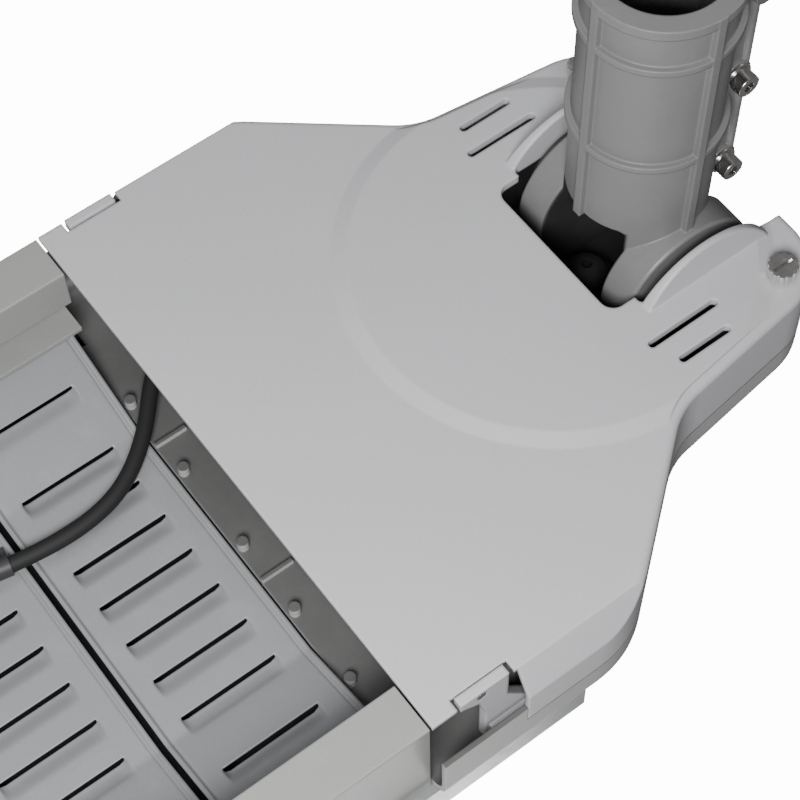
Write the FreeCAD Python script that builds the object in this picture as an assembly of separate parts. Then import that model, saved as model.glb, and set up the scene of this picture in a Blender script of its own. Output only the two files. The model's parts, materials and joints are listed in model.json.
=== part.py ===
import FreeCAD, Part
import math
import os

V = FreeCAD.Vector

# All-in-one solar street lamp on a tilting pole sleeve. Millimetres, +Z up as the lamp hangs in use.
# The origin is on the pole axis at the mouth of the sleeve. +X points to the light head.
# Depths are counted upwards from the outer (lower) face of the service cover: see up().

# ---- Driving dimensions -------------------------------------------------------------------------
SLEEVE_BORE_R = 31.0          # slips over a 60 mm pole
SLEEVE_R = 38.0
SLEEVE_LENGTH = 162.0
BORE_DEPTH = 150.0
FACE_Z = 187.0                # height of the cover's outer face above the sleeve mouth
PIVOT_DEPTH = 22.0            # knuckle axis above the cover face
EAR_R = 42.0
EAR_IN = 24.5
EAR_OUT = 45.0
CHEEK_IN = 47.2
CHEEK_OUT = 52.0
ARCH_R = 47.0
BOLT_R = 6.0                  # M12 knuckle bolt
SPLIT_HALF = 4.0              # half width of the sleeve's clamping slot
FLANGE_HALF = 20.0
BOSS_HALF = 22.0
CLAMP_X = -37.0               # clamp screws, M8
CLAMP_R = 4.0
CLAMP_DEPTHS = (-30.0, -99.0, -168.0)
BOSS_R = 9.0
FLANGE_TOP = -19.0
SLOT_FOOT = -24.0             # foot of the gap between the ears

TAIL_FRONT = 264.0            # cover's straight front edge
TAIL_REAR = -56.0
TOP_HALF = 172.0              # half width of the flat cover face
BODY_HALF = 182.0             # half width of the housing
FACET_SLOPE = 1.9             # fall of the side facet
U_FRONT = 56.0                # front edge of the knuckle opening
U_HALF = 48.0
U_WIDE_HALF = 53.0
PARTING = 44.5                # depth of the parting line
CEILING = 70.0                # inner face of the upper housing
HOUSING_TOP = 74.0
WELL_TOP = 66.5               # top of the rear opening the sleeve swings through
WALL = 3.0
COVER_EDGE_R = 4.0
HOUSING_EDGE_R = 14.0
HINGE_X = 235.0               # service cover's hinge line
HINGE_DEPTH = 4.0
NOTCH_REAR = 216.0
NOTCH_FRONT = 249.5
NOTCH_IN = 165.5

RAIL_IN = 144.0
RAIL_DEEP = 28.0
BAY_REAR = 265.5
HEAD_REAR = 556.0
HEAD_FRONT = 792.0
SHEET_LENGTH = 88.0
SHEET_PITCH = 91.2
SHEET_REAR = 271.0
SHEET_FLAT_HALF = 78.0
SHEET_EDGE_HALF = 140.0
SHEET_EDGE_DEPTH = 49.0
LOUVRE_PITCH = 25.0
LOUVRE_LENGTH = 58.0

PANEL_REAR = 170.0
PANEL_FRONT = 806.0
PANEL_HALF = 176.0
PANEL_BOTTOM = 76.0
PANEL_TOP = 101.0
FRAME_WALL = 2.0
FRAME_FLANGE = 14.0

LENS_REAR = 612.0
LENS_FRONT = 764.0
LENS_HALF = 122.0
LENS_ROWS = 5
LENS_COLUMNS = 8
SENSOR_X = 584.0
BUTTON_Y = 62.0

LEAD_R = 4.5


# ---- Small helpers ------------------------------------------------------------------------------
def up(depth):
    """Height of a point that lies the given depth above the cover's outer face."""
    return FACE_Z + depth


def box(x0, x1, y0, y1, d0, d1):
    """Box between two corners, its heights given as depths."""
    return Part.makeBox(x1 - x0, y1 - y0, d1 - d0, V(x0, y0, up(d0)))


def rod_z(x, y, d0, d1, radius):
    return Part.makeCylinder(radius, d1 - d0, V(x, y, up(d0)), V(0, 0, 1))


def rod_y(x, depth, y0, y1, radius):
    return Part.makeCylinder(radius, y1 - y0, V(x, y0, up(depth)), V(0, 1, 0))


def rod_x(x0, x1, y, depth, radius):
    return Part.makeCylinder(radius, x1 - x0, V(x0, y, up(depth)), V(1, 0, 0))


def hex_prism(centre, direction, across_flats, height):
    """Hexagonal prism standing on a point, along a direction."""
    radius = across_flats / math.sqrt(3)
    corners = [V(radius * math.cos(k * math.pi / 3), radius * math.sin(k * math.pi / 3), 0) for k in range(7)]
    solid = Part.Face(Part.makePolygon(corners)).extrude(V(0, 0, height))
    solid.Placement = FreeCAD.Placement(centre, FreeCAD.Rotation(V(0, 0, 1), direction))
    return solid


def prism(points, plane, low, high):
    """Polygon in a plane ('xz' or 'yz', second value a depth) carried from low to high."""
    if plane == "xz":
        corners = [V(a, low, up(b)) for a, b in points]
        travel = V(0, high - low, 0)
    else:
        corners = [V(low, a, up(b)) for a, b in points]
        travel = V(high - low, 0, 0)
    corners.append(corners[0])
    return Part.Face(Part.makePolygon(corners)).extrude(travel)


def rounded_wire(corners, height):
    """Closed wire through (x, y, radius) corners, each rounded by its radius."""
    edges = []
    count = len(corners)
    ends = []
    for i in range(count):
        x, y, radius = corners[i]
        here = V(x, y, height)
        before = V(corners[i - 1][0], corners[i - 1][1], height).sub(here).normalize()
        after_corner = corners[(i + 1) % count]
        after = V(after_corner[0], after_corner[1], height).sub(here).normalize()
        half = before.getAngle(after) / 2
        if radius <= 0:
            ends.append((here, None, here))
            continue
        reach = radius / math.tan(half)
        start = here.add(V(before).multiply(reach))
        stop = here.add(V(after).multiply(reach))
        bisector = V(before).add(after).normalize()
        middle = here.add(bisector.multiply(radius / math.sin(half) - radius))
        ends.append((start, middle, stop))
    for i in range(count):
        start, middle, stop = ends[i]
        if middle is not None:
            edges.append(Part.Arc(start, middle, stop).toShape())
        following = ends[(i + 1) % count][0]
        if stop.distanceToPoint(following) > 1e-6:
            edges.append(Part.LineSegment(stop, following).toShape())
    return Part.Wire(edges)


def plate(corners, d0, d1):
    """Flat plate with the given rounded outline."""
    return Part.Face(rounded_wire(corners, up(d0))).extrude(V(0, 0, d1 - d0))


def rounded_box(x0, x1, y0, y1, d0, d1, radius):
    return plate([(x0, y0, radius), (x1, y0, radius), (x1, y1, radius), (x0, y1, radius)], d0, d1)


def mirrored(shape):
    """The same shape on the other side of the lamp's middle plane."""
    return shape.mirror(V(0, 0, 0), V(0, 1, 0))


def both(shape):
    return [shape, mirrored(shape)]


def group(shapes):
    """Separate solids kept in one node."""
    return Part.makeCompound(shapes)


def socket_screw(tip, direction, radius, length, head_radius, head_height, across_flats):
    """Cap screw from its tip to a socket head, along a direction."""
    shank = Part.makeCylinder(radius, length, tip, direction)
    head_start = tip.add(V(direction).multiply(length))
    head = Part.makeCylinder(head_radius, head_height, head_start, direction)
    rim = [e for e in head.Edges if e.Curve.TypeId == "Part::GeomCircle"]
    outer = max(rim, key=lambda e: V(direction).dot(e.CenterOfMass))
    head = head.makeFillet(0.6, [outer])
    socket_start = tip.add(V(direction).multiply(length + head_height * 0.4))
    socket = hex_prism(socket_start, V(direction), across_flats, head_height)
    return shank.fuse(head).cut(socket).removeSplitter()


def pan_screw(x, y, depth, direction_up, radius, length, head_radius):
    """Small pan-head screw with a cross recess. Its head seats at the given depth."""
    sign = 1 if direction_up else -1
    shank = Part.makeCylinder(radius, length, V(x, y, up(depth)), V(0, 0, sign))
    head = Part.makeCylinder(head_radius, head_radius * 0.6, V(x, y, up(depth)), V(0, 0, -sign))
    far = [e for e in head.Edges if abs(e.CenterOfMass.z - up(depth)) > head_radius * 0.5]
    head = head.makeFillet(head_radius * 0.35, [e for e in far if e.Closed])
    top = up(depth) - sign * head_radius * 0.6
    low = min(top, top + sign * head_radius * 0.35)
    bar_a = Part.makeBox(head_radius, 0.8, head_radius * 0.35, V(x - head_radius / 2, y - 0.4, low))
    bar_b = Part.makeBox(0.8, head_radius, head_radius * 0.35, V(x - 0.4, y - head_radius / 2, low))
    return shank.fuse(head).cut(bar_a).cut(bar_b).removeSplitter()


def tube_along(points, radius, label):
    """Round lead on straight runs joined by tangent arcs. Points are (x, y, depth)."""
    places = [V(x, y, up(d)) for x, y, d in points]
    edges = []
    start = places[0]
    for i in range(1, len(places) - 1):
        back = places[i - 1].sub(places[i])
        onward = places[i + 1].sub(places[i])
        half_turn = (math.pi - back.getAngle(onward)) / 2
        reach = 0.45 * min(back.Length, onward.Length)
        bend = reach / math.tan(half_turn)
        print(label, "bend radius", round(bend, 1))
        enter = places[i].add(V(back).normalize().multiply(reach))
        leave = places[i].add(V(onward).normalize().multiply(reach))
        inward = V(back).normalize().add(V(onward).normalize()).normalize()
        middle = places[i].add(inward.multiply(bend / math.cos(half_turn) - bend))
        edges.append(Part.LineSegment(start, enter).toShape())
        edges.append(Part.Arc(enter, middle, leave).toShape())
        start = leave
    edges.append(Part.LineSegment(start, places[-1]).toShape())
    path = Part.Wire(edges)
    heading = places[1].sub(places[0])
    section = Part.Wire([Part.Circle(places[0], heading, radius).toShape()])
    solid = path.makePipeShell([section], True, False)
    print(label, "length", round(path.Length, 1), "volume ratio",
          round(solid.Volume / (math.pi * radius ** 2 * path.Length), 4))
    return solid


# ---- Tail plan ----------------------------------------------------------------------------------
def tail_corners(half, front=TAIL_FRONT):
    """Plan of the tail: wide at the front, necked in round the knuckle."""
    shoulder_x = 135.5 + (half - TOP_HALF) / 0.814
    side = [(front, half, 0), (shoulder_x, half, 58), (61, 111, 45), (TAIL_REAR, 96, 38)]
    other = [(x, -y, r) for x, y, r in reversed(side)]
    return side + other


def tail_block(half, d0, d1, inset=0.0):
    """Block of the tail's plan. An inset one runs out through the front, as a cavity tool."""
    if inset > 0:
        wire = rounded_wire(tail_corners(half, TAIL_FRONT + 20), up(d0)).makeOffset2D(-inset)
    else:
        wire = rounded_wire(tail_corners(half), up(d0))
    return Part.Face(wire).extrude(V(0, 0, d1 - d0))


def rounded_rim(block, depth, radius):
    """Rounds a block's edges at one depth, but not those across its front."""
    rim = [e for e in block.Edges
           if max(abs(e.BoundBox.ZMin - up(depth)), abs(e.BoundBox.ZMax - up(depth))) < 1e-3
           and e.CenterOfMass.x < TAIL_FRONT - 1]
    return block.makeFillet(radius, rim)


def facet_wedges(shift=0.0):
    """Material outside the two sloping side facets."""
    start = TOP_HALF - shift
    fall = 60.0
    outline = [(start - 2, -2 * FACET_SLOPE), (start + fall / FACET_SLOPE, fall), (start + 90, fall),
               (start + 90, -2 * FACET_SLOPE)]
    wedge = prism(outline, "yz", TAIL_REAR - 10, TAIL_FRONT + 20)
    return both(wedge)


def knuckle_opening(d0, d1):
    """U-shaped opening with rounded front corners and a small ledge each side."""
    narrow = plate([(20, -U_HALF, 0), (U_FRONT, -U_HALF, 8), (U_FRONT, U_HALF, 8), (20, U_HALF, 0)], d0, d1)
    wide = plate([(TAIL_REAR - 10, -U_WIDE_HALF, 0), (40, -U_WIDE_HALF, 3), (40, U_WIDE_HALF, 3),
                  (TAIL_REAR - 10, U_WIDE_HALF, 0)], d0, d1)
    return narrow.fuse(wide)


# ---- Service cover ------------------------------------------------------------------------------
def cheek_arch():
    """Raised rim beside the knuckle: an arched wall with a drafted outer face and a soft crest."""
    disc = rod_y(0, PIVOT_DEPTH, U_WIDE_HALF, U_WIDE_HALF + 10, ARCH_R)
    outline = [(U_WIDE_HALF, WALL), (U_WIDE_HALF, -27), (56.6, -27), (60.4, WALL)]
    wall = disc.common(prism(outline, "yz", -60, 60))
    crest = [e for e in wall.Edges if e.BoundBox.ZMin < up(-20) and e.BoundBox.XLength > 60]
    return wall.makeFillet(1.2, crest)


def vent_slot(x0, x1, y):
    half = 2.2
    return plate([(x0, y - half, half * 0.98), (x1, y - half, half * 0.98), (x1, y + half, half * 0.98),
                  (x0, y + half, half * 0.98)], -8, 8)


def service_cover():
    outer = rounded_rim(tail_block(BODY_HALF, 0, PARTING - 0.5), 0, COVER_EDGE_R)
    for wedge in facet_wedges():
        outer = outer.cut(wedge)
    outer = outer.cut(box(214, TAIL_FRONT + 1, -200, 200, WALL, PARTING))
    for sign in (1, -1):
        low, high = sorted((sign * TOP_HALF, sign * 200))
        outer = outer.cut(box(214, TAIL_FRONT + 1, low, high, -1, PARTING))
    inner = tail_block(BODY_HALF, WALL, PARTING, WALL)
    for wedge in facet_wedges(WALL):
        inner = inner.cut(wedge)
    shell = outer.cut(inner)
    disc = Part.makeCone(116, 107, 2.6, V(U_FRONT, 0, up(0)), V(0, 0, -1))
    disc = disc.common(tail_block(TOP_HALF, -3, 1, 5.0))
    shell = shell.fuse(disc).cut(knuckle_opening(-4, PARTING))
    for arch in both(cheek_arch()):
        shell = shell.fuse(arch)
    for sign in (1, -1):
        shell = shell.cut(vent_slot(8, 53, sign * 75))
        shell = shell.cut(vent_slot(13, 46, sign * 91))
        low, high = sorted((sign * NOTCH_IN, sign * 200))
        shell = shell.cut(box(NOTCH_REAR, NOTCH_FRONT, low, high, -1, WALL + 1))
        boss_low, boss_high = sorted((sign * 157.0, sign * NOTCH_IN))
        boss = box(HINGE_X - 8, HINGE_X + 8, boss_low, boss_high, WALL - 0.5, 11)
        shell = shell.fuse(boss).cut(rod_y(HINGE_X, HINGE_DEPTH, boss_low - 1, boss_high + 1, 2.5))
        shell = shell.fuse(rod_z(-30, sign * 82, WALL - 0.5, 10, 8))
        shell = shell.cut(rod_z(-30, sign * 82, -4, 11, 2.6))
    for x in (90, 140, 190):
        shell = shell.fuse(box(x, x + 2, -115, 115, WALL - 0.2, 8))
    for y in (-80, -1, 78):
        shell = shell.fuse(box(72, 208, y, y + 2, WALL - 0.2, 8))
    return shell.removeSplitter()


def cover_hinge_pins():
    return group(both(rod_y(HINGE_X, HINGE_DEPTH, 158, 172, 2.5)))


def cover_screws():
    """Captive thumb screws at the ends of the neck prongs."""
    solids = []
    for sign in (1, -1):
        shank = rod_z(-30, sign * 82, -2.6, 19, 2.5)
        head = rod_z(-30, sign * 82, -9, -2.6, 8)
        for k in range(12):
            angle = k * math.pi / 6
            groove = rod_z(-30 + 8.3 * math.cos(angle), sign * 82 + 8.3 * math.sin(angle), -10, -2, 1.0)
            head = head.cut(groove)
        slot = box(-30 - 6, -30 + 6, sign * 82 - 0.8, sign * 82 + 0.8, -10, -7)
        solids.append(shank.fuse(head).cut(slot).removeSplitter())
    return group(solids)


# ---- Upper housing ------------------------------------------------------------------------------
def housing_cheek():
    """Wall that carries the knuckle bolt, hanging from the roof."""
    lobe = rod_y(0, PIVOT_DEPTH, CHEEK_IN, CHEEK_OUT, 30)
    web = box(-30, 34, CHEEK_IN, CHEEK_OUT, PIVOT_DEPTH, CEILING + 1)
    gusset = prism([(34, CEILING + 1), (34, 30), (60, CEILING + 1)], "xz", CHEEK_IN, CHEEK_OUT)
    return lobe.fuse([web, gusset]).cut(rod_y(0, PIVOT_DEPTH, CHEEK_IN - 1, CHEEK_OUT + 1, BOLT_R))


def upper_housing():
    outer = rounded_rim(tail_block(BODY_HALF, PARTING + 0.5, HOUSING_TOP), HOUSING_TOP, HOUSING_EDGE_R)
    inner = rounded_rim(tail_block(BODY_HALF, PARTING, CEILING, WALL), CEILING, HOUSING_EDGE_R - WALL)
    shell = outer.cut(inner)
    shell = shell.fuse(both(box(214, TAIL_FRONT, BODY_HALF - WALL, BODY_HALF, 31, PARTING + 1)))
    shell = shell.fuse(box(TAIL_FRONT - 0.5, 269.5, -143, 143, CEILING, HOUSING_TOP))
    shell = shell.cut(box(TAIL_REAR - 5, -24, -CHEEK_IN, CHEEK_IN, PARTING, WELL_TOP))
    shell = shell.cut(box(TAIL_REAR - 5, -42, -BOSS_HALF - 3, BOSS_HALF + 3, WELL_TOP - 1, HOUSING_TOP + 1))
    for cheek in both(housing_cheek()):
        shell = shell.fuse(cheek)
    well_wall = box(54, 57, -CHEEK_OUT, CHEEK_OUT, 40, CEILING + 1)
    shell = shell.fuse(well_wall)
    for y in (-133, -33, 66):
        shell = shell.fuse(box(250, 269.5, y - 1.2, y + 1.2, CEILING - 3, CEILING + 0.5))
    for y in (-105, -57, -10.4, 44.7, 96):
        shell = shell.fuse(rod_z(265.5, y, CEILING - 6, CEILING + 0.5, 3.2))
    for sign in (1, -1):
        post = rod_z(-30, sign * 82, 11, CEILING + 1, 8)
        shell = shell.fuse(post).cut(rod_z(-30, sign * 82, 10, 34, 3.6))
        for x, y in ((92, 112), (200, 150)):
            shell = shell.fuse(rod_z(x, sign * y, 46, CEILING + 1, 5))
    shell = shell.cut(rod_z(26, 4, CEILING - 1, HOUSING_TOP + 1, 8.0))
    return shell.removeSplitter()


def hinge_bracket():
    """Plate whose ear stands up in the notch of the cover and carries its hinge pin."""
    outline = [(219, -1.2), (247.5, -1.2), (247.5, 5), (236, 12), (232, 30), (232, 62), (204, 62), (204, 46),
               (219, 24)]
    ear = prism(outline, "xz", 166.5, 172.0)
    foot = box(204, 230, 170.5, 178.9, 47, 62)
    bracket = ear.fuse(foot).cut(rod_y(HINGE_X, HINGE_DEPTH, 160, 178, 2.56))
    for x in (210, 224):
        bracket = bracket.cut(rod_y(x, 54.5, 160, 182, 2.05))
    return bracket.removeSplitter()


def hinge_bracket_screws():
    solids = []
    for x in (210, 224):
        screw = rod_y(x, 54.5, 165.8, 178.6, 2.0).fuse(rod_y(x, 54.5, 163.6, 166.5, 3.6))
        screw = screw.cut(hex_prism(V(x, 163.4, up(54.5)), V(0, 1, 0), 2.5, 1.6))
        solids += both(screw.removeSplitter())
    return group(solids)


# ---- Knuckle and pole sleeve --------------------------------------------------------------------
def sleeve_ear():
    """Round ear of the knuckle, its rims softened."""
    disc = rod_y(0, PIVOT_DEPTH, EAR_IN, EAR_OUT, EAR_R)
    rims = [e for e in disc.Edges if e.Closed]
    return disc.makeFillet(1.8, rims)


def clamp_flange():
    """Two-sided flange of the clamp with an edge rib and a boss at each screw."""
    web = plate([(-46, -FLANGE_HALF, 2), (-14, -FLANGE_HALF, 0), (-14, FLANGE_HALF, 0),
                 (-46, FLANGE_HALF, 2)], -FACE_Z, FLANGE_TOP)
    parts = [plate([(-46, -BOSS_HALF, 2), (-41, -BOSS_HALF, 2), (-41, BOSS_HALF, 2), (-46, BOSS_HALF, 2)],
                   -FACE_Z, FLANGE_TOP)]
    for depth in CLAMP_DEPTHS:
        parts.append(rod_y(CLAMP_X, depth, -BOSS_HALF, BOSS_HALF, BOSS_R))
    return web.fuse(parts)


def sleeve_slot():
    """Gap between the ears, with rounded corners at its foot."""
    tall = box(-60, 60, -EAR_IN, EAR_IN, SLOT_FOOT + 4, PIVOT_DEPTH + EAR_R + 2)
    foot = box(-60, 60, -EAR_IN + 4, EAR_IN - 4, SLOT_FOOT, SLOT_FOOT + 4)
    corners = both(rod_x(-60, 60, EAR_IN - 4, SLOT_FOOT + 4, 4))
    return tall.fuse([foot] + corners)


def pole_sleeve():
    shapes = both(sleeve_ear())
    for depth in (-82.0, -157.0):
        shapes.append(rod_z(0, 0, depth - 2, depth + 2, SLEEVE_R + 3.2))
    shapes.append(rod_z(0, 0, -FACE_Z, -FACE_Z + 6, SLEEVE_R + 3.2))
    rib = box(SLEEVE_R - 4, SLEEVE_R + 3.4, -2.6, 2.6, -FACE_Z, FLANGE_TOP)
    for angle in (0, 90, -90):
        turned = rib.copy()
        turned.rotate(V(0, 0, 0), V(0, 0, 1), angle)
        shapes.append(turned)
    shapes.append(clamp_flange())
    body = rod_z(0, 0, -FACE_Z, 10, SLEEVE_R).fuse(shapes)
    body = body.cut(rod_z(0, 0, -FACE_Z - 1, -FACE_Z + BORE_DEPTH, SLEEVE_BORE_R))
    body = body.cut(rod_z(0, 0, -FACE_Z, 0, 24.0)).cut(sleeve_slot())
    body = body.cut(box(-60, -20, -SPLIT_HALF, SPLIT_HALF, -FACE_Z - 1, -10))
    for depth in CLAMP_DEPTHS:
        body = body.cut(rod_y(CLAMP_X, depth, -40, 40, CLAMP_R + 0.3))
        for spot in both(rod_y(CLAMP_X, depth, BOSS_HALF, BOSS_HALF + 20, BOSS_R + 0.2)):
            body = body.cut(spot)
    body = body.cut(rod_y(0, PIVOT_DEPTH, -60, 60, BOLT_R + 0.06))
    return body.removeSplitter()


def clamp_bolts():
    solids = []
    for depth in CLAMP_DEPTHS:
        seat = -BOSS_HALF - 1.6
        tip = V(CLAMP_X, BOSS_HALF + 12, up(depth))
        solids.append(socket_screw(tip, V(0, -1, 0), CLAMP_R, tip.y - seat, 6.5, 8.0, 6.0))
    return group(solids)


def clamp_washers():
    solids = []
    for depth in CLAMP_DEPTHS:
        for y0 in (-BOSS_HALF - 1.6, BOSS_HALF):
            ring = rod_y(CLAMP_X, depth, y0, y0 + 1.6, 8.0).cut(rod_y(CLAMP_X, depth, y0 - 1, y0 + 3, 4.2))
            solids.append(ring)
    return group(solids)


def clamp_nuts():
    solids = []
    for depth in CLAMP_DEPTHS:
        start = V(CLAMP_X, BOSS_HALF + 1.6, up(depth))
        nut = hex_prism(start, V(0, 1, 0), 13.0, 6.5)
        solids.append(nut.cut(rod_y(CLAMP_X, depth, BOSS_HALF, BOSS_HALF + 20, CLAMP_R)))
    return group(solids)


def knuckle_bolt():
    shank = rod_y(0, PIVOT_DEPTH, -CHEEK_OUT - 2.5, CHEEK_OUT + 12, BOLT_R)
    head = hex_prism(V(0, -CHEEK_OUT - 2.5, up(PIVOT_DEPTH)), V(0, -1, 0), 18.0, 7.0)
    return shank.fuse(head).removeSplitter()


def knuckle_nut():
    nut = hex_prism(V(0, CHEEK_OUT + 2.5, up(PIVOT_DEPTH)), V(0, 1, 0), 18.0, 7.5)
    return nut.cut(rod_y(0, PIVOT_DEPTH, CHEEK_OUT, CHEEK_OUT + 20, BOLT_R))


def knuckle_washers():
    ring = rod_y(0, PIVOT_DEPTH, CHEEK_OUT, CHEEK_OUT + 2.5, 12)
    return group(both(ring.cut(rod_y(0, PIVOT_DEPTH, CHEEK_OUT - 1, CHEEK_OUT + 4, BOLT_R + 0.3))))


def friction_discs():
    """Thin brake discs between the sleeve's ears and the housing cheeks, with radial grooves."""
    low = EAR_OUT + 0.1
    disc = rod_y(0, PIVOT_DEPTH, low, CHEEK_IN, 22)
    disc = disc.cut(rod_y(0, PIVOT_DEPTH, low - 1, CHEEK_IN + 1, BOLT_R + 0.3))
    for k in range(12):
        groove = box(13, 23, low - 0.1, low + 0.7, PIVOT_DEPTH - 0.8, PIVOT_DEPTH + 0.8)
        groove.rotate(V(0, 0, up(PIVOT_DEPTH)), V(0, 1, 0), k * 30)
        disc = disc.cut(groove)
    return group(both(disc))


def knuckle_gland():
    """Black rubber boot under the roof over the knuckle, with a ringed dome gland."""
    boot = rounded_box(-18, 53, -46, 46, 66, CEILING, 6)
    neck = rod_z(26, 4, CEILING - 1, HOUSING_TOP + 4, 8.0)
    collar = rod_z(26, 4, 55, 66.5, 16).fuse(rod_z(26, 4, 52, 56, 13))
    dome = Part.makeSphere(13, V(26, 4, up(54))).common(box(0, 60, -30, 30, 40, 54.1))
    return boot.fuse([neck, collar, dome]).cut(rod_z(26, 4, 40, HOUSING_TOP + 5, 3.0)).removeSplitter()


# ---- Battery and controller ---------------------------------------------------------------------
BATTERY = (84.0, 226.0, -84.0, 44.0)
BATTERY_DEPTHS = (20.0, 69.0)


def battery_case():
    x0, x1, y0, y1 = BATTERY
    low, high = BATTERY_DEPTHS
    outer = rounded_box(x0, x1, y0, y1, low + 2.5, high, 5)
    return outer.cut(rounded_box(x0 + 2.5, x1 - 2.5, y0 + 2.5, y1 - 2.5, low, high - 2.5, 3))


def battery_lid():
    x0, x1, y0, y1 = BATTERY
    low = BATTERY_DEPTHS[0]
    lid = rounded_box(x0, x1, y0, y1, low, low + 2.5, 5)
    for k in range(4):
        x = x0 + 24 + k * 30
        lid = lid.fuse(rounded_box(x, x + 5, y0 + 16, y1 - 16, low - 1.2, low + 0.2, 2.4))
    return lid.removeSplitter()


def battery_cells():
    """Twenty-four 18650 cells, two long, six wide and two deep."""
    solids = []
    x0, x1, y0, y1 = BATTERY
    for end in range(2):
        for row in range(6):
            for layer in range(2):
                x = x0 + 5.5 + end * 66
                y = (y0 + y1) / 2 + (row - 2.5) * 19.2
                solids.append(rod_x(x, x + 65, y, BATTERY_DEPTHS[0] + 13.2 + layer * 19.6, 9.2))
    return group(solids)


def battery_board():
    x0, x1, y0, y1 = BATTERY
    return box(x0 + 6, x1 - 6, y0 + 8, y1 - 8, BATTERY_DEPTHS[1] - 4.4, BATTERY_DEPTHS[1] - 2.8)


def battery_straps():
    """Two steel straps that hold the battery up against the roof."""
    x0, x1, y0, y1 = BATTERY
    solids = []
    for x in (x0 + 12, x1 - 24):
        outer = box(x, x + 12, y0 - 1.7, y1 + 1.7, BATTERY_DEPTHS[0] - 1.4 - 1.2, CEILING)
        outer = outer.cut(box(x - 1, x + 13, y0 - 0.2, y1 + 0.2, BATTERY_DEPTHS[0] - 1.4, CEILING + 1))
        feet = [box(x, x + 12, y1 + 0.2, y1 + 14, CEILING - 1.5, CEILING),
                box(x, x + 12, y0 - 14, y0 - 0.2, CEILING - 1.5, CEILING)]
        solids.append(outer.fuse(feet).removeSplitter())
    return group(solids)


CONTROLLER = (104.0, 190.0, 66.0, 132.0)
CONTROLLER_DEPTHS = (42.0, 70.0)


def controller_case():
    x0, x1, y0, y1 = CONTROLLER
    low, high = CONTROLLER_DEPTHS
    case = rounded_box(x0, x1, y0, y1, low + 3, high, 4)
    case = case.cut(rounded_box(x0 + 2, x1 - 2, y0 + 2, y1 - 2, low, high - 2, 2.5))
    return case.cut(rod_x(x1 - 5, x1 + 5, 118, 58, 7.0))


def controller_lid():
    x0, x1, y0, y1 = CONTROLLER
    low = CONTROLLER_DEPTHS[0]
    lid = rounded_box(x0, x1, y0, y1, low, low + 3, 4)
    for k in range(9):
        x = x0 + 9 + k * 8
        lid = lid.fuse(box(x, x + 2.5, y0 + 6, y1 - 6, low - 5, low + 0.2))
    return lid.removeSplitter()


def controller_board():
    x0, x1, y0, y1 = CONTROLLER
    board = box(x0 + 5, x1 - 5, y0 + 5, y1 - 24, 60, 61.6)
    chokes = [rod_z(x0 + 22, y0 + 20, 52, 60.2, 7), rod_z(x0 + 46, y0 + 20, 48, 60.2, 5)]
    return board.fuse(chokes).removeSplitter()


def lead_gland(x, y, depth, forwards):
    """Ribbed cable gland on a wall square to X, with a bore for the lead."""
    sign = 1 if forwards else -1
    axis = V(sign, 0, 0)
    at = V(x, y, up(depth))
    thread = Part.makeCylinder(7.0, 4, at.sub(V(4 * sign, 0, 0)), axis)
    collar = hex_prism(at, axis, 19, 5)
    nut = Part.makeCone(8.8, 6.4, 11, at.add(V(5 * sign, 0, 0)), axis)
    body = thread.fuse([collar, nut])
    bore = Part.makeCylinder(LEAD_R, 24, at.sub(V(5 * sign, 0, 0)), axis)
    return body.cut(bore).removeSplitter()


def battery_lead():
    """Twin lead from the battery to the controller with its plug pair."""
    y0 = BATTERY[3]
    y1 = CONTROLLER[2]
    solids = [rod_y(x, 56, y0, y1, 2.2) for x in (172, 179)]
    plug = box(168, 183, y0 + 5, y0 + 16, 51, 61)
    for x in (172, 179):
        plug = plug.cut(rod_y(x, 56, y0, y1, 2.2))
    return group(solids + [plug])


# The lead from the controller to the light head, along the underside of the louvred bay.
LEAD_DEPTH = 63.4             # along the clipped stretch, just clear of the sheets' hems
LEAD_ROUTE = [(191, 118, 58), (222, 118, 58), (248, 100, 60), (272, 71, 62.2), (298, 52, 63),
              (326, 46, LEAD_DEPTH), (358, 48, LEAD_DEPTH), (396, 56, LEAD_DEPTH), (428, 61.5, LEAD_DEPTH),
              (462, 63, LEAD_DEPTH), (492, 57, LEAD_DEPTH), (512, 49.5, 61), (531, 44, 58), (557, 44, 58)]
CLIPS = [(373.5, 51.3, 11.6), (462.2, 62.15, -4.4)]    # centre of each clip in plan, and its turn in degrees


def lamp_lead():
    return tube_along(LEAD_ROUTE, LEAD_R, "lamp lead")


def lead_clips():
    """Nylon P-clips that hold the lead up under the louvred sheets."""
    solids = []
    for x, y, turn in CLIPS:
        ring = rod_x(x - 5, x + 5, y, LEAD_DEPTH, LEAD_R + 1.3)
        ring = ring.fuse(box(x - 5, x + 5, y, y + 14, CEILING - 1.7, CEILING))
        ring = ring.cut(rod_x(x - 6, x + 6, y, LEAD_DEPTH, LEAD_R + 0.15))
        ring.rotate(V(x, y, 0), V(0, 0, 1), turn)
        solids.append(ring.removeSplitter())
    return group(solids)


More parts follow.
